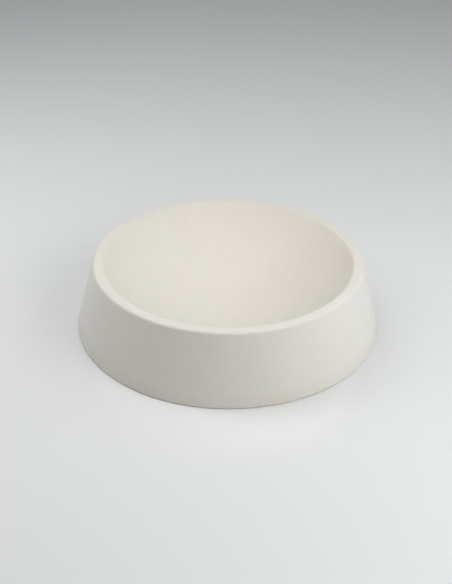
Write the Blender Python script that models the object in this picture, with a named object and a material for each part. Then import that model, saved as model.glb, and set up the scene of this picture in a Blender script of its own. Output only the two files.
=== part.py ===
"""A round plaster slump mould: a low, solid frustum with a smooth dish in its top.

The mould is cast in a single pour and has no joint anywhere, so it is one solid. It stands on its
wide end. A slab of soft clay is pressed into the dish, and its edge is trimmed off flush on the rim land.

Frame: origin at the centre of the base, +Z up through the middle of the dish. All lengths are metres.
"""

import math

import bpy

# Driving dimensions of the body. Each diameter is taken where two faces would meet if their edge
# weren't eased.
FOOT_DIAMETER = 0.308
RIM_DIAMETER = 0.270
DISH_DIAMETER = 0.250
HEIGHT = 0.071
DISH_DEPTH = 0.052

# The radius that each edge is eased to.
DISH_EDGE_RADIUS = 0.0030  # worn soft by the trimming knife
RIM_EDGE_RADIUS = 0.0025  # rubbed down, so that it doesn't chip into the clay
FOOT_EDGE_RADIUS = 0.0012

# How finely the round surfaces are divided.
TURN_STEPS = 128
DISH_STEPS = 18
EDGE_SEGMENTS = 4
MERGE_DISTANCE = 0.00001
SMOOTH_BELOW = math.radians(30)

# Bone-dry pottery plaster: chalky, matt and slightly cream.
PLASTER_COLOUR = (0.74, 0.72, 0.67, 1.0)
PLASTER_ROUGHNESS = 0.9


def dish_point(share):
    """A point on the dish's arc as (radius, height). The share is 0 on the axis and 1 at the mouth."""
    mouth = DISH_DIAMETER / 2
    sphere = (mouth**2 + DISH_DEPTH**2) / (2 * DISH_DEPTH)
    angle = share * math.asin(mouth / sphere)
    return sphere * math.sin(angle), HEIGHT - DISH_DEPTH + sphere * (1 - math.cos(angle))


def body_profile():
    """The half section as (radius, height) points, and the radius that each sharp corner is eased to.

    It runs from the middle of the dish up to its mouth, over the rim land, down the outside wall and
    back under the base to the axis.
    """
    points = [dish_point(step / DISH_STEPS) for step in range(DISH_STEPS + 1)]
    dish_edge = len(points) - 1
    points.append((RIM_DIAMETER / 2, HEIGHT))
    rim_edge = len(points) - 1
    points.append((FOOT_DIAMETER / 2, 0.0))
    foot_edge = len(points) - 1
    points.append((0.0, 0.0))
    return points, {dish_edge: DISH_EDGE_RADIUS, rim_edge: RIM_EDGE_RADIUS, foot_edge: FOOT_EDGE_RADIUS}


def turn_at(points, corner):
    """The angle that the profile turns through at one of its corners."""
    (r0, z0), (r1, z1), (r2, z2) = points[corner - 1 : corner + 2]
    turn = math.atan2(z1 - z0, r1 - r0) - math.atan2(z2 - z1, r2 - r1)
    return abs((turn + math.pi) % (2 * math.pi) - math.pi)


def add_turn(turned):
    """Turns the object's profile into a closed body about +Z."""
    screw = turned.modifiers.new("turn", "SCREW")
    screw.axis = "Z"
    screw.angle = 2 * math.pi
    screw.steps = TURN_STEPS
    screw.render_steps = TURN_STEPS
    screw.use_merge_vertices = True
    screw.merge_threshold = MERGE_DISTANCE


def add_eased_edge(turned, corner, radius, turn):
    """Rounds the circular edge that one corner of the profile sweeps out."""
    group = turned.vertex_groups.new(name=f"corner_{corner}")
    group.add([corner], 1.0, "REPLACE")
    bevel = turned.modifiers.new(group.name, "BEVEL")
    bevel.limit_method = "VGROUP"
    bevel.vertex_group = group.name
    bevel.offset_type = "OFFSET"
    bevel.width = radius * math.tan(turn / 2)
    bevel.segments = EDGE_SEGMENTS
    bevel.use_clamp_overlap = False


def bake_modifiers(turned):
    """Swaps the object's profile for the finished mesh, shaded smooth except across true edges."""
    evaluated = turned.evaluated_get(bpy.context.evaluated_depsgraph_get())
    mesh = bpy.data.meshes.new_from_object(evaluated)
    turned.modifiers.clear()
    turned.vertex_groups.clear()
    turned.data = mesh
    mesh.name = turned.name
    mesh.shade_smooth()
    mesh.set_sharp_from_angle(angle=SMOOTH_BELOW)


def plaster():
    material = bpy.data.materials.new("plaster")
    material.use_nodes = True
    shader = material.node_tree.nodes["Principled BSDF"]
    shader.inputs["Base Color"].default_value = PLASTER_COLOUR
    shader.inputs["Roughness"].default_value = PLASTER_ROUGHNESS
    shader.inputs["Metallic"].default_value = 0.0
    return material


def make_mold_body():
    """The mould itself: one casting, with its dish, rim land, wall and foot."""
    points, eased_corners = body_profile()
    mesh = bpy.data.meshes.new("profile")
    mesh.from_pydata([(r, 0.0, z) for r, z in points], [(i, i + 1) for i in range(len(points) - 1)], [])
    body = bpy.data.objects.new("mold_body", mesh)
    bpy.context.scene.collection.objects.link(body)
    add_turn(body)
    for corner, radius in eased_corners.items():
        add_eased_edge(body, corner, radius, turn_at(points, corner))
    bake_modifiers(body)
    body.data.materials.append(plaster())


def clear_scene():
    for old in list(bpy.data.objects):
        bpy.data.objects.remove(old)


clear_scene()
make_mold_body()
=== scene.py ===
import math
import random
from dataclasses import dataclass

import bmesh
import bpy
import numpy as np
from mathutils import Matrix, Vector, noise


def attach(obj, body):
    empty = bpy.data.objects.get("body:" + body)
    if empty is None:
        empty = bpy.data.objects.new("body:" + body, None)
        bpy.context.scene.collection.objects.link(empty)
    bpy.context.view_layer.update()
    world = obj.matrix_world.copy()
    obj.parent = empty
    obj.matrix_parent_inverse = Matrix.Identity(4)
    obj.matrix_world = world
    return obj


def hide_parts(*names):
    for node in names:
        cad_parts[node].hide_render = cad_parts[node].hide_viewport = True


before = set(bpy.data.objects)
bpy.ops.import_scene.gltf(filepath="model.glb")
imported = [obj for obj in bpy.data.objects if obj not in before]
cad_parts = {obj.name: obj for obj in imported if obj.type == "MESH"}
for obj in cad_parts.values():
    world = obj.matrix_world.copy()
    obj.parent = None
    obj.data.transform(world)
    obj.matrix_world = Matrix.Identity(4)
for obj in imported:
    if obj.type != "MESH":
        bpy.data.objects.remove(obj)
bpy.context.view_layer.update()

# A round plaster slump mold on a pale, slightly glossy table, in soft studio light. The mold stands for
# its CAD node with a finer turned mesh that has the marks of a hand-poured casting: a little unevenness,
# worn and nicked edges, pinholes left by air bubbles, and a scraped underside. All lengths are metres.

NODE = "mold_body"
ON_PLANE = 0.00001  # how near a plane a CAD vertex must be to count as on it

# The turned mesh.
RING_POINTS = 384  # round the widest rings; smaller rings have half as many, and half again
WIDE_RING = 0.090  # the radius above which a ring has them all
FEWEST_POINTS = 6  # round the smallest ring
STEP = 0.0022  # between rings on the open surfaces
EDGE_STEPS = 6  # across each eased edge
CELLS_PER_PIT = 3  # the cells across the radius of a pinhole or nick, at least
FINEST_CELL = 0.00016  # cells this small are never split

# Unevenness of the casting, as the most that it moves the surface, and how far apart its swells are.
SWELL_HEIGHT, SWELL_LENGTH = 0.00022, 0.070
RIPPLE_HEIGHT, RIPPLE_LENGTH = 0.00005, 0.014
EDGE_WEAR, EDGE_WEAR_LENGTH = 0.00028, 0.011
EDGE_NEAR, EDGE_FAR = 0.0006, 0.0024  # from a corner, where its wear starts to fade and where it ends
LEAST_WEAR = 0.25  # of EDGE_WEAR, where an edge is worn least
SCRAPE_HEIGHT, SCRAPE_LENGTH = 0.00025, 0.016
SCRAPE_STRETCH, SCRAPE_SKEW = 0.12, 0.02  # the underside's scrapes run almost along X
UNDER_BLEND = 0.0004  # how far up the foot's rounding the scrapes fade out
NOISE_GAIN = 1.6  # brings the noise up to about -1 to 1
NOISE_APART = Vector((7.3, 3.1, 1.7))  # between the noise of one seed and the next


@dataclass
class Batch:
    """How many pits of one sort there are, their radii, and their depth as a share of their radius."""

    count: int
    smallest: float
    largest: float
    shallow: float = 0.5
    deep: float = 0.9


DISH_PITS = Batch(8, 0.00030, 0.00055)
WALL_PITS = Batch(44, 0.00030, 0.00085)
LAND_PITS = Batch(6, 0.00025, 0.00045)
UNDER_PITS = Batch(46, 0.00050, 0.00180)
RIM_NICKS = Batch(6, 0.00150, 0.00240, 0.30, 0.38)
FOOT_NICKS = Batch(12, 0.00150, 0.00260, 0.20, 0.34)
PIT_SEED = 11
PIT_FLOOR = 0.35  # of a pit's radius, where its sides begin

# Where the pits can be, as shares of the mouth's radius, the wall's height, the land's width and the
# foot's radius.
DISH_REACH, UNDER_REACH = 0.92, 0.96
WALL_FROM, WALL_TO = 0.08, 0.92
LAND_FROM, LAND_TO = 0.3, 0.7

PLAIN_PINHOLES = ((0.0337, 0.0151, 0.0012), (0.0165, -0.0072, 0.0012))  # x, y and radius, in the dish
PLAIN_DEPTH = 0.7  # of their radius

# Camera.
CAMERA_ELEVATION = math.radians(31.56)
CAMERA_DISTANCE = 1.071  # from the point it looks at
CAMERA_TARGET = Vector((-0.0019, 0.0, 0.0312))
CAMERA_ROLL = math.radians(0.53)
CAMERA_LENS, SENSOR_HEIGHT = 64.7, 36  # mm


@dataclass
class Section:
    """The mold's half section, with each corner given as if its edge weren't eased."""

    height: float
    mouth: float  # radius of the dish where it meets the rim plane
    depth: float
    sphere: float  # radius of the sphere that the dish is part of
    rim: float  # radius of the wall where it meets the rim plane
    foot: float  # radius of the wall where it meets the table
    mouth_setback: float  # how far from each corner its rounding begins
    rim_setback: float
    foot_setback: float


def read_section():
    """Reads the CAD mold's sizes back from its mesh."""
    points = np.array([vertex.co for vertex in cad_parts[NODE].data.vertices])
    radius, z = np.hypot(points[:, 0], points[:, 1]), points[:, 2]
    height = z.max()
    land = radius[z > height - ON_PLANE]
    above_base = z > height / 10
    middle = z[(radius < ON_PLANE) & above_base].min()
    # The dish's points that are clear of both its middle and the mouth's rounding give its sphere.
    dish = (radius > 0.1 * land.min()) & (radius < 0.9 * land.min()) & above_base
    rise = z[dish] - middle
    sphere = float(np.mean((radius[dish] ** 2 + rise**2) / (2 * rise)))
    depth = height - middle
    outside = radius > land.max() + ON_PLANE
    top = z == z[outside & (z > height / 2)].min()
    low = z == z[outside & (z < height / 2)].max()
    (r1, z1), (r2, z2) = (radius[top].max(), z[top].max()), (radius[low].max(), z[low].max())
    slope = (r2 - r1) / (z2 - z1)
    rim, foot = r1 + slope * (height - z1), r1 - slope * z1
    mouth = math.sqrt(sphere**2 - (sphere - depth) ** 2)
    base = radius[z < ON_PLANE].max()
    setbacks = land.min() - mouth, rim - land.max(), foot - base
    return Section(height, mouth, depth, sphere, rim, foot, *setbacks)


def eased(before, corner, after, setback):
    """The points of an arc that rounds a corner of the section, touching both of its sides."""
    corner = Vector(corner)
    back = (Vector(before) - corner).normalized()
    on = (Vector(after) - corner).normalized()
    half = back.angle(on) / 2
    radius = setback * math.tan(half)
    middle = corner + (back + on).normalized() * (radius / math.sin(half))
    start = corner + back * setback - middle
    sweep = start.angle_signed(corner + on * setback - middle)
    turns = [Matrix.Rotation(-sweep * i / EDGE_STEPS, 2) for i in range(EDGE_STEPS + 1)]
    return [middle + turn @ start for turn in turns]


def straight(start, end):
    """Points at even steps between two others, without either."""
    count = max(1, round((end - start).length / STEP))
    return [start.lerp(end, i / count) for i in range(1, count)]


def dish_arc(section, stop):
    """Points along the dish from its middle out to the radius stop."""
    top = math.asin(stop / section.sphere)
    count = round(section.sphere * top / STEP)
    low = section.height - section.depth
    angles = [top * i / count for i in range(count)]
    return [Vector((0.0, low)) + section.sphere * Vector((math.sin(a), 1 - math.cos(a))) for a in angles]


def fine_profile(section):
    """The half section from the middle of the dish to the middle of the underside, as (radius, z)."""
    mouth = Vector((section.mouth, section.height))
    rim = Vector((section.rim, section.height))
    foot = Vector((section.foot, 0.0))
    tilt = math.asin(section.mouth / section.sphere)
    below = mouth - Vector((math.cos(tilt), math.sin(tilt)))
    mouth_arc = eased(below, mouth, rim, section.mouth_setback)
    rim_arc = eased(mouth, rim, foot, section.rim_setback)
    foot_arc = eased(rim, foot, Vector((0.0, 0.0)), section.foot_setback)
    points = dish_arc(section, mouth_arc[0].x - STEP / 2) + mouth_arc
    points += straight(mouth_arc[-1], rim_arc[0]) + rim_arc
    points += straight(rim_arc[-1], foot_arc[0]) + foot_arc
    points += straight(foot_arc[-1], Vector((0.0, 0.0))) + [Vector((0.0, 0.0))]
    return points


def ring_points(radius):
    """How many vertices a ring has: halved each time the radius halves, so that the cells stay square."""
    count, limit = RING_POINTS, WIDE_RING
    while radius < limit and count % 2 == 0 and count > FEWEST_POINTS:
        count, limit = count // 2, limit / 2
    return count


def turned_mesh(profile):
    """A closed bmesh that the profile sweeps out, with fewer cells round its small rings."""
    bm = bmesh.new()
    rings = []
    for r, z in profile:
        count = 1 if r < ON_PLANE else ring_points(r)
        angles = [2 * math.pi * i / count for i in range(count)]
        rings.append([bm.verts.new((r * math.cos(a), r * math.sin(a), z)) for a in angles])
    for upper, lower in zip(rings, rings[1:]):
        bridge(bm, upper, lower)
    bmesh.ops.recalc_face_normals(bm, faces=bm.faces)
    return bm


def bridge(bm, one, other):
    """Joins two rings. One may be a single point, or have twice as many vertices as the other."""
    if len(one) < len(other):
        one, other = other, one
    for i in range(len(other) if len(other) > 1 else len(one)):
        if len(other) == 1:
            bm.faces.new((one[i], one[(i + 1) % len(one)], other[0]))
        elif len(one) == len(other):
            j = (i + 1) % len(one)
            bm.faces.new((one[i], one[j], other[j], other[i]))
        else:
            a, b, c = one[2 * i], one[2 * i + 1], one[(2 * i + 2) % len(one)]
            d, e = other[i], other[(i + 1) % len(other)]
            bm.faces.new((a, b, d))
            bm.faces.new((d, b, e))
            bm.faces.new((b, c, e))


@dataclass
class Pit:
    """A round hollow in the surface: a pinhole left by an air bubble, or a nick knocked out of an edge."""

    place: Vector
    radius: float
    depth: float


def on_dish(section, x, y):
    """The point of the dish at x and y."""
    low = section.height - section.depth
    return Vector((x, y, low + section.sphere - math.sqrt(section.sphere**2 - x * x - y * y)))


def at_turn(radius, turn, z):
    """The point at that radius and height, turned round from +X."""
    return Vector((radius * math.cos(turn), radius * math.sin(turn), z))


def scattered(chance, batch, place):
    """A batch of pits. Each is where place() says for a random share from 0 to 1 and a random turn."""
    pits = []
    for _ in range(batch.count):
        spot = place(chance.random(), chance.uniform(0, 2 * math.pi))
        radius = batch.smallest + (batch.largest - batch.smallest) * chance.random() ** 2
        pits.append(Pit(spot, radius, radius * chance.uniform(batch.shallow, batch.deep)))
    return pits


def all_pits(section):
    """The two plain pinholes in the dish, small pinholes all over, and nicks along the outer edges."""
    chance = random.Random(PIT_SEED)

    def in_dish(share, turn):
        reach = DISH_REACH * section.mouth * math.sqrt(share)
        return on_dish(section, reach * math.cos(turn), reach * math.sin(turn))

    def on_wall(share, turn):
        up = WALL_FROM + (WALL_TO - WALL_FROM) * share
        return at_turn(section.foot + (section.rim - section.foot) * up, turn, section.height * up)

    def on_land(share, turn):
        across = (LAND_FROM + (LAND_TO - LAND_FROM) * share) * (section.rim - section.mouth)
        return at_turn(section.mouth + across, turn, section.height)

    def under(share, turn):
        return at_turn(UNDER_REACH * section.foot * math.sqrt(share), turn, 0.0)

    def on_rim_edge(share, turn):
        return at_turn(section.rim, turn, section.height)

    def on_foot_edge(share, turn):
        return at_turn(section.foot, turn, 0.0)

    pits = [Pit(on_dish(section, x, y), size, PLAIN_DEPTH * size) for x, y, size in PLAIN_PINHOLES]
    pits += scattered(chance, DISH_PITS, in_dish)
    pits += scattered(chance, WALL_PITS, on_wall)
    pits += scattered(chance, LAND_PITS, on_land)
    pits += scattered(chance, UNDER_PITS, under)
    pits += scattered(chance, RIM_NICKS, on_rim_edge)
    pits += scattered(chance, FOOT_NICKS, on_foot_edge)
    return pits


def refine_near(bm, pits):
    """Splits the cells round each pit until they are small beside it."""
    cell = STEP
    while cell > FINEST_CELL:
        centres = np.array([face.calc_center_median() for face in bm.faces])
        near = np.zeros(len(centres), bool)
        for pit in pits:
            if cell > pit.radius / CELLS_PER_PIT:
                far = np.linalg.norm(centres - np.array(pit.place), axis=1)
                near |= far < pit.radius + cell
        split = [face for face, chosen in zip(bm.faces, near) if chosen]
        edges = list(dict.fromkeys(edge for face in split for edge in face.edges))
        bmesh.ops.subdivide_edges(bm, edges=edges, cuts=1, use_grid_fill=True)
        cell /= 2
    bmesh.ops.triangulate(bm, faces=list(bm.faces))


def smoothstep(low, high, values):
    """0 where a value is at or below the low one, 1 at or above the high one, and smooth between."""
    share = np.clip((values - low) / (high - low), 0, 1)
    return share * share * (3 - 2 * share)


def swells(points, length, seed):
    """Smooth noise between about -1 and 1 at each point, whose swells are about one length apart."""
    offset = NOISE_APART * seed
    return NOISE_GAIN * np.array([noise.noise(Vector(point) / length + offset) for point in points])


def vertex_arrays(bm):
    """Every vertex's place and normal."""
    bm.normal_update()
    points = np.array([vertex.co for vertex in bm.verts])
    return points, np.array([vertex.normal for vertex in bm.verts])


def put_vertices(bm, section, places):
    """Moves the vertices to their new places, but never past the rim plane or into the table."""
    places[:, 2] = np.clip(places[:, 2], 0.0, section.height)
    for vertex, place in zip(bm.verts, places):
        vertex.co = place


def cast_surface(bm, section):
    """Moves every vertex along its normal, for the swells, worn edges and scraped underside."""
    points, normals = vertex_arrays(bm)
    x, y, z = points.T
    radius = np.hypot(x, y)
    move = SWELL_HEIGHT * swells(points, SWELL_LENGTH, 1) + RIPPLE_HEIGHT * swells(points, RIPPLE_LENGTH, 2)
    corners = ((section.mouth, section.height), (section.rim, section.height), (section.foot, 0.0))
    for seed, (corner_radius, height) in enumerate(corners, 3):
        near = 1 - smoothstep(EDGE_NEAR, EDGE_FAR, np.hypot(radius - corner_radius, z - height))
        worn = LEAST_WEAR + np.clip(swells(points, EDGE_WEAR_LENGTH, seed), 0, 1)
        move -= EDGE_WEAR * near * worn
    strokes = np.stack([x * SCRAPE_STRETCH + y * SCRAPE_SKEW, y, z], axis=1)
    scrape = SCRAPE_HEIGHT * (1 + swells(strokes, SCRAPE_LENGTH, 9)) / 2
    under = 1 - smoothstep(0.0, UNDER_BLEND, z)
    move = move * (1 - under) - scrape * under
    put_vertices(bm, section, points + normals * move[:, None])


def sink_pits(bm, section, pits):
    """Pushes each pinhole and nick in as one, so that none of its faces fold over."""
    points, normals = vertex_arrays(bm)
    sunk = points.copy()
    for pit in pits:
        far = np.linalg.norm(points - np.array(pit.place), axis=1) / pit.radius
        share = 1 - smoothstep(PIT_FLOOR, 1.0, far)
        sunk -= pit.depth * share[:, None] * normals[far.argmin()]
    put_vertices(bm, section, sunk)


def make_mold(section):
    """The visible mold. It stands for the CAD node and takes its place and size."""
    pits = all_pits(section)
    bm = turned_mesh(fine_profile(section))
    cast_surface(bm, section)
    refine_near(bm, pits)
    sink_pits(bm, section, pits)
    mesh = bpy.data.meshes.new("plaster_casting")
    bm.to_mesh(mesh)
    bm.free()
    mesh.shade_smooth()
    mesh.materials.append(plaster(section))
    mold = bpy.data.objects.new("plaster_casting", mesh)
    bpy.context.scene.collection.objects.link(mold)
    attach(mold, "root")
    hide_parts(NODE)


class Shader:
    """A material's node tree, with short ways to add nodes to it."""

    def __init__(self, name):
        self.material = bpy.data.materials.new(name)
        self.material.use_nodes = True
        self.tree = self.material.node_tree
        self.surface = self.tree.nodes["Principled BSDF"]

    def node(self, kind, inputs, output=0, **settings):
        """Adds a node, fills its inputs with numbers or other nodes' outputs, and returns an output."""
        made = self.tree.nodes.new(kind)
        for key, value in settings.items():
            setattr(made, key, value)
        for key, value in inputs.items():
            self.fill(made.inputs[key], value)
        return made.outputs[output]

    def fill(self, socket, value):
        if isinstance(value, bpy.types.NodeSocket):
            self.tree.links.new(value, socket)
        else:
            socket.default_value = value

    def maths(self, operation, a, b=0.0):
        return self.node("ShaderNodeMath", {0: a, 1: b}, operation=operation)

    def plus(self, a, b):
        return self.maths("ADD", a, b)

    def times(self, a, b):
        return self.maths("MULTIPLY", a, b)

    def step(self, value, limit):
        """0 below the limit and 1 above it."""
        return self.maths("GREATER_THAN", value, limit)

    def ramp(self, value, low, high, start=0.0, end=1.0):
        """Start where the value is low, end where it is high, and a smooth change between."""
        inputs = {"Value": value, "From Min": low, "From Max": high, "To Min": start, "To Max": end}
        return self.node("ShaderNodeMapRange", inputs, interpolation_type="SMOOTHSTEP")

    def along(self, flat, direction):
        """How far a point is from the middle, measured in the direction."""
        return self.node("ShaderNodeVectorMath", {0: flat, 1: direction}, output=1, operation="DOT_PRODUCT")

    def side(self, flat, direction, reach):
        """0 up to a little past the middle, then a rise to 1 at the reach, towards the direction."""
        return self.ramp(self.along(flat, direction), reach / 5, reach)

    def noise(self, vector, size, detail=2.0, rough=0.5):
        inputs = {"Vector": vector, "Scale": 1 / size, "Detail": detail, "Roughness": rough}
        return self.node("ShaderNodeTexNoise", inputs)

    def mix(self, share, one, other, blend="MIX"):
        made = self.tree.nodes.new("ShaderNodeMix")
        made.data_type = "RGBA"
        made.blend_type = blend
        for key, value in ((0, share), (6, one), (7, other)):
            self.fill(made.inputs[key], value)
        return made.outputs[2]

    def bump(self, height, distance, below=None):
        inputs = {"Height": height, "Distance": distance, "Strength": 1.0}
        if below is not None:
            inputs["Normal"] = below
        return self.node("ShaderNodeBump", inputs)


# The plaster's colours, as linear RGB.
WALL_COLOUR = (0.780, 0.767, 0.736, 1)
LAND_COLOUR = (0.790, 0.778, 0.716, 1)
# painted shade: the land's colour towards its back, where less light reaches
LAND_SHADE_COLOUR = (0.732, 0.716, 0.655, 1)
DISH_COLOUR = (0.771, 0.745, 0.671, 1)
STAINED_COLOUR = (0.776, 0.704, 0.648, 1)
# painted warm cast of fill light on the shaded front of the wall
WARM_FILL_COLOUR = (0.795, 0.744, 0.690, 1)
# darker and warmer, low on the wall towards the foot
FOOT_BAND_COLOUR = (0.700, 0.664, 0.600, 1)
# painted contact shadow: a thin dark line where the foot meets the table
CONTACT_SHADOW_COLOUR = (0.36, 0.34, 0.30, 1)
UNDER_COLOUR = (0.720, 0.700, 0.650, 1)
PORE_COLOUR = (0.42, 0.40, 0.36, 1)

# How far apart the marks in the plaster are.
CLOUD, BLOTCH, GRAIN, PORE = 0.060, 0.011, 0.0009, 0.0016
PORE_EDGE, PORE_CORE = 0.16, 0.05  # of PORE, from a pore's middle to its edge and to its darkest part
PORE_PATCH = 2.5 * PORE  # pores come in patches about this wide
PATCH_FROM, PATCH_TO = 0.52, 0.60  # the noise at a patch's edge and well inside it

# How much the brightness varies over each kind of mark.
BLOTCH_SHADE, GRAIN_SHADE, CLOUD_SHADE = 0.010, 0.022, 0.008

# How much of each mark shows where it is strongest, from none at 0 to all at 1.
STAIN_SHOWN, WARM_FILL_SHOWN, FOOT_BAND_SHOWN, CONTACT_SHADOW_SHOWN, PORE_SHOWN = 0.60, 0.80, 0.60, 0.65, 0.70
STAINED_SIDE = (0.50, 0.87, 0.0)  # the side of the dish that clay has left a pink cast on
LAND_SHADE_SIDE = (0.0, 1.0, 0.0)  # the side that the land is painted a little darker towards, as painted shade where less light reaches
WARM_FILL_SIDE = (-0.17, -0.98, 0.0)  # the side of the wall painted a little warmer, as the painted warm cast of fill light on its shaded front
FOOT_BAND_HEIGHT = 0.018  # how far the darker, warmer band reaches up the wall from the foot
DISH_LINE = 0.0002  # how far outside the dish's mouth its colour ends
LINE_BLUR = 0.0018  # how wide the change of colour is there
LINE_WANDER = 0.0012  # how far the line strays
LAND_DROP = 0.0022  # how far below the rim plane the land's colour ends
CONTACT_SHADOW_HEIGHT = 0.0009  # how far up the foot's edge a thin line of painted contact shadow reaches
ABOVE_BASE = 0.008  # a height between the underside and the lowest part of the dish
UNDER_TOP = 0.0007  # how far up from the table the underside's colour reaches

# How high the relief of each mark is.
GRAIN_RELIEF, BLOTCH_RELIEF, PORE_RELIEF = 0.00006, 0.00030, 0.00025
SCRATCH_RELIEF, STROKE_RELIEF = 0.00006, 0.00045
SCRATCH_SCALE = (3.0, 2700.0)  # of the land's scratches: along the rim, then across it
STROKE_SCALE = (14.0, 420.0, 1.0)  # of the strokes that struck the underside flat

LEAST_ROUGH, MOST_ROUGH = 0.80, 0.92
DISH_SMOOTHER = 0.10  # how much less rough the dish is
SPECULAR = 0.30


@dataclass
class Marks:
    """Shader values for where the mold's surfaces and marks are, each between 0 and 1."""

    dish: bpy.types.NodeSocket
    land: bpy.types.NodeSocket
    land_shade: bpy.types.NodeSocket
    under: bpy.types.NodeSocket
    stain: bpy.types.NodeSocket
    warm_fill: bpy.types.NodeSocket
    foot_band: bpy.types.NodeSocket
    contact_shadow: bpy.types.NodeSocket
    cloud: bpy.types.NodeSocket
    blotch: bpy.types.NodeSocket
    grain: bpy.types.NodeSocket
    pore: bpy.types.NodeSocket


def find_marks(s, section, place):
    """Works out every mark from a point's place on the mold."""
    cloud = s.noise(place, CLOUD, detail=3)
    blotch = s.noise(place, BLOTCH, detail=4, rough=0.6)
    grain = s.noise(place, GRAIN, detail=3, rough=0.7)
    specks = s.node("ShaderNodeTexVoronoi", {"Vector": place, "Scale": 1 / PORE, "Randomness": 1.0})
    patch = s.ramp(s.noise(place, PORE_PATCH), PATCH_FROM, PATCH_TO)
    pore = s.times(s.ramp(specks, PORE_EDGE, PORE_CORE), patch)

    z = s.node("ShaderNodeSeparateXYZ", {0: place}, output=2)
    flat = s.node("ShaderNodeVectorMath", {0: place, 1: (1, 1, 0)}, operation="MULTIPLY")
    radius = s.node("ShaderNodeVectorMath", {0: flat}, output=1, operation="LENGTH")
    wander = s.ramp(blotch, 0.2, 0.8, -LINE_WANDER / 2, LINE_WANDER / 2)
    dish_line = section.mouth + DISH_LINE
    inside = s.ramp(s.plus(radius, wander), dish_line, dish_line - LINE_BLUR)
    # The stain, the painted warm cast of fill light and the darker band at the foot are patchy: where the
    # clouds are thin, only a part of each shows.
    stain_patch = s.ramp(cloud, 0.30, 0.60, 0.6, 1.0)
    warm_fill_patch = s.ramp(cloud, 0.30, 0.60, 0.7, 1.0)
    foot_band_patch = s.ramp(cloud, 0.30, 0.75, 0.25, 1.0)
    return Marks(
        dish=s.times(inside, s.step(z, ABOVE_BASE)),
        land=s.ramp(z, section.height - LAND_DROP, section.height - LAND_DROP / 5),
        # painted shade: the land darker towards its back
        land_shade=s.ramp(s.along(flat, LAND_SHADE_SIDE), -section.mouth, section.mouth),
        under=s.ramp(z, UNDER_TOP, UNDER_TOP / 3),
        stain=s.times(s.side(flat, STAINED_SIDE, section.mouth), stain_patch),
        # painted warm cast of fill light on the wall's shaded front
        warm_fill=s.times(s.side(flat, WARM_FILL_SIDE, section.foot), warm_fill_patch),
        # darker, warmer band low on the wall
        foot_band=s.times(s.ramp(z, FOOT_BAND_HEIGHT, 0.0), foot_band_patch),
        # painted contact shadow along the foot's edge
        contact_shadow=s.ramp(s.plus(z, wander), CONTACT_SHADOW_HEIGHT, CONTACT_SHADOW_HEIGHT / 2),
        cloud=cloud,
        blotch=blotch,
        grain=grain,
        pore=pore,
    )


def colour_plaster(s, marks):
    """Lays the marks' colours over each other, from the wall's own colour to the dark of the pores."""
    # painted warm cast of fill light on the wall's shaded front
    colour = s.mix(s.times(marks.warm_fill, WARM_FILL_SHOWN), WALL_COLOUR, WARM_FILL_COLOUR)
    # darker, warmer band towards the foot
    colour = s.mix(s.times(marks.foot_band, FOOT_BAND_SHOWN), colour, FOOT_BAND_COLOUR)
    # the land, with painted shade towards its back
    colour = s.mix(marks.land, colour, s.mix(marks.land_shade, LAND_COLOUR, LAND_SHADE_COLOUR))
    dish = s.mix(s.times(marks.stain, STAIN_SHOWN), DISH_COLOUR, STAINED_COLOUR)
    colour = s.mix(marks.dish, colour, dish)
    # painted contact shadow where the foot meets the table
    colour = s.mix(s.times(marks.contact_shadow, CONTACT_SHADOW_SHOWN), colour, CONTACT_SHADOW_COLOUR)
    colour = s.mix(marks.under, colour, UNDER_COLOUR)
    blotch = s.ramp(marks.blotch, 0.25, 0.75, -BLOTCH_SHADE, BLOTCH_SHADE)
    grain = s.ramp(marks.grain, 0.2, 0.8, -GRAIN_SHADE, GRAIN_SHADE)
    cloud = s.ramp(marks.cloud, 0.3, 0.7, 1 - CLOUD_SHADE, 1 + CLOUD_SHADE)
    shade = s.plus(s.plus(blotch, grain), cloud)
    grey = s.node("ShaderNodeCombineColor", {0: shade, 1: shade, 2: shade})
    colour = s.mix(1.0, colour, grey, blend="MULTIPLY")
    return s.mix(s.times(marks.pore, PORE_SHOWN), colour, PORE_COLOUR)


def land_scratches(s, place):
    """Fine scratches round the land, from the knife that trims the clay there."""
    x = s.node("ShaderNodeSeparateXYZ", {0: place}, output=0)
    y = s.node("ShaderNodeSeparateXYZ", {0: place}, output=1)
    flat = s.node("ShaderNodeCombineXYZ", {0: x, 1: y})
    radius = s.node("ShaderNodeVectorMath", {0: flat}, output=1, operation="LENGTH")
    along = s.times(s.maths("ARCTAN2", y, x), SCRATCH_SCALE[0])
    across = s.times(radius, SCRATCH_SCALE[1])
    curved = s.node("ShaderNodeCombineXYZ", {0: along, 1: across})
    return s.noise(curved, 1.0, detail=4, rough=0.6)


def underside_strokes(s, place):
    """Long strokes across the underside, from the bar that struck the wet plaster flat."""
    stretched = s.node("ShaderNodeMapping", {"Vector": place, "Scale": STROKE_SCALE})
    return s.noise(stretched, 1.0, detail=5, rough=0.65)


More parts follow.
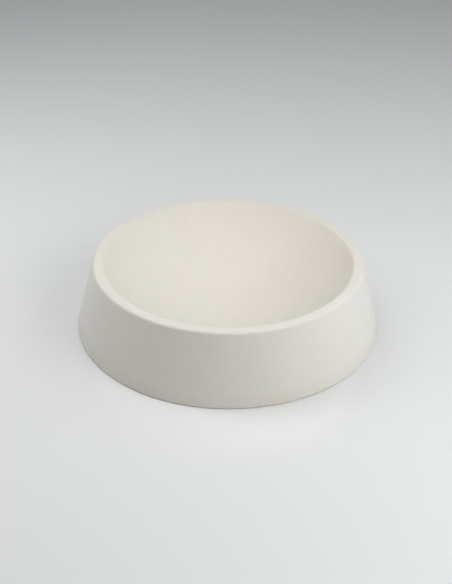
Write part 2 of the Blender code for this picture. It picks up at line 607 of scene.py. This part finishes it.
def plaster(section):
    """Dry pottery plaster: creamier in the dish from wet clay, scraped white on the land with painted shade
    towards its back, a painted warm cast of fill light on the wall's shaded front, a darker, warmer band
    towards the foot with a painted contact shadow along its edge, and a little dirty underneath."""
    s = Shader("pottery_plaster")
    place = s.node("ShaderNodeTexCoord", {}, output=3)
    marks = find_marks(s, section, place)
    s.fill(s.surface.inputs["Base Color"], colour_plaster(s, marks))

    rough = s.ramp(marks.blotch, 0.3, 0.7, LEAST_ROUGH, MOST_ROUGH)
    rough = s.plus(rough, s.times(marks.dish, -DISH_SMOOTHER))
    s.fill(s.surface.inputs["Roughness"], rough)
    s.surface.inputs["Specular IOR Level"].default_value = SPECULAR

    normal = s.bump(marks.grain, GRAIN_RELIEF)
    normal = s.bump(marks.blotch, BLOTCH_RELIEF, normal)
    normal = s.bump(s.maths("SUBTRACT", 1.0, marks.pore), PORE_RELIEF, normal)
    normal = s.bump(s.times(land_scratches(s, place), marks.land), SCRATCH_RELIEF, normal)
    normal = s.bump(s.times(underside_strokes(s, place), marks.under), STROKE_RELIEF, normal)
    s.fill(s.surface.inputs["Normal"], normal)
    return s.material


TABLE_RADIUS, TABLE_RINGS, TABLE_POINTS = 3.5, 12, 96
TABLE_COLOUR = (0.810, 0.828, 0.826, 1)
TABLE_SMOOTHEST, TABLE_ROUGHEST = 0.10, 0.13
TABLE_PATCH = 0.25  # how far apart its smoother and rougher patches are


def make_table():
    """A wide pale sheet with a slight gloss, which the mold is faintly mirrored in."""
    bm = bmesh.new()
    rings = []
    for ring in range(TABLE_RINGS + 1):
        r = TABLE_RADIUS * (ring / TABLE_RINGS) ** 2
        count = TABLE_POINTS if ring else 1
        angles = [2 * math.pi * i / count for i in range(count)]
        rings.append([bm.verts.new((r * math.cos(a), r * math.sin(a), 0.0)) for a in angles])
    for inner, outer in zip(rings, rings[1:]):
        bridge(bm, inner, outer)
    bmesh.ops.recalc_face_normals(bm, faces=bm.faces)
    mesh = bpy.data.meshes.new("table_sheet")
    bm.to_mesh(mesh)
    bm.free()
    mesh.materials.append(sheet_material())
    table = bpy.data.objects.new("table_sheet", mesh)
    bpy.context.scene.collection.objects.link(table)


def sheet_material():
    """Smooth pale laminate, a little less glossy in some patches than in others."""
    s = Shader("pale_sheet")
    place = s.node("ShaderNodeTexCoord", {}, output=3)
    patches = s.noise(place, TABLE_PATCH, detail=3)
    s.surface.inputs["Base Color"].default_value = TABLE_COLOUR
    s.fill(s.surface.inputs["Roughness"], s.ramp(patches, 0.3, 0.7, TABLE_SMOOTHEST, TABLE_ROUGHEST))
    return s.material


@dataclass
class Softbox:
    """A round soft light that aims at the mold. Its azimuth runs anticlockwise from +X, seen from above,
    its angles are in degrees, and its power is in watts."""

    name: str
    azimuth: float
    elevation: float
    distance: float
    diameter: float
    power: float
    colour: tuple = (1.0, 1.0, 1.0)


SOFTBOXES = (
    Softbox("overhead", 0, 90, 3.0, 3.0, 11.6),
    Softbox("key_right", -30, 40, 0.9, 0.6, 2.74),
    Softbox("low_right", 0, 20, 1.3, 0.7, 1.39),
    Softbox("low_front", -60, 20, 1.3, 0.7, 2.53, (1.0, 1.0, 0.90)),
    Softbox("back_right", 30, 42, 1.3, 0.7, 1.32),
    Softbox("fill_left", 170, 40, 0.9, 0.6, 2.06, (0.98, 1.0, 0.92)),
    Softbox("back_left", 150, 64, 1.3, 0.7, 3.58, (1.06, 1.0, 1.08)),
)
LIGHT_TARGET = Vector((0.0, 0.0, 0.03))
ROOM_COLOUR = (0.985, 1.0, 1.02, 1)
ROOM_STRENGTH = 0.2


def add_softbox(box):
    """Hangs a softbox in the studio, facing the mold."""
    lamp = bpy.data.lights.new(box.name, "AREA")
    lamp.shape = "DISK"
    lamp.size = box.diameter
    lamp.energy = box.power
    lamp.color = box.colour
    light = bpy.data.objects.new(box.name, lamp)
    light.visible_glossy = False  # so that the glossy table doesn't mirror it as a bright disc
    bpy.context.scene.collection.objects.link(light)
    turn, tilt = math.radians(box.azimuth), math.radians(box.elevation)
    away = Vector((math.cos(turn) * math.cos(tilt), math.sin(turn) * math.cos(tilt), math.sin(tilt)))
    light.location = LIGHT_TARGET + away * box.distance
    light.rotation_euler = away.to_track_quat("Z", "Y").to_euler()


def make_world():
    """An even, dim grey room."""
    world = bpy.data.worlds.new("studio")
    bpy.context.scene.world = world
    world.use_nodes = True
    background = world.node_tree.nodes["Background"]
    background.inputs["Color"].default_value = ROOM_COLOUR
    background.inputs["Strength"].default_value = ROOM_STRENGTH


def make_camera():
    """A camera in front of the mold that looks down on it."""
    camera = bpy.data.cameras.new("camera")
    camera.sensor_fit = "VERTICAL"
    camera.sensor_height = SENSOR_HEIGHT
    camera.lens = CAMERA_LENS
    holder = bpy.data.objects.new("camera", camera)
    bpy.context.scene.collection.objects.link(holder)
    away = Vector((0.0, -math.cos(CAMERA_ELEVATION), math.sin(CAMERA_ELEVATION)))
    facing = away.to_track_quat("Z", "Y").to_matrix() @ Matrix.Rotation(CAMERA_ROLL, 3, "Z")
    holder.matrix_world = Matrix.Translation(CAMERA_TARGET + away * CAMERA_DISTANCE) @ facing.to_4x4()
    bpy.context.scene.camera = holder


make_mold(read_section())
make_table()
for softbox in SOFTBOXES:
    add_softbox(softbox)
make_world()
make_camera()
bpy.context.scene.view_settings.view_transform = "Standard"
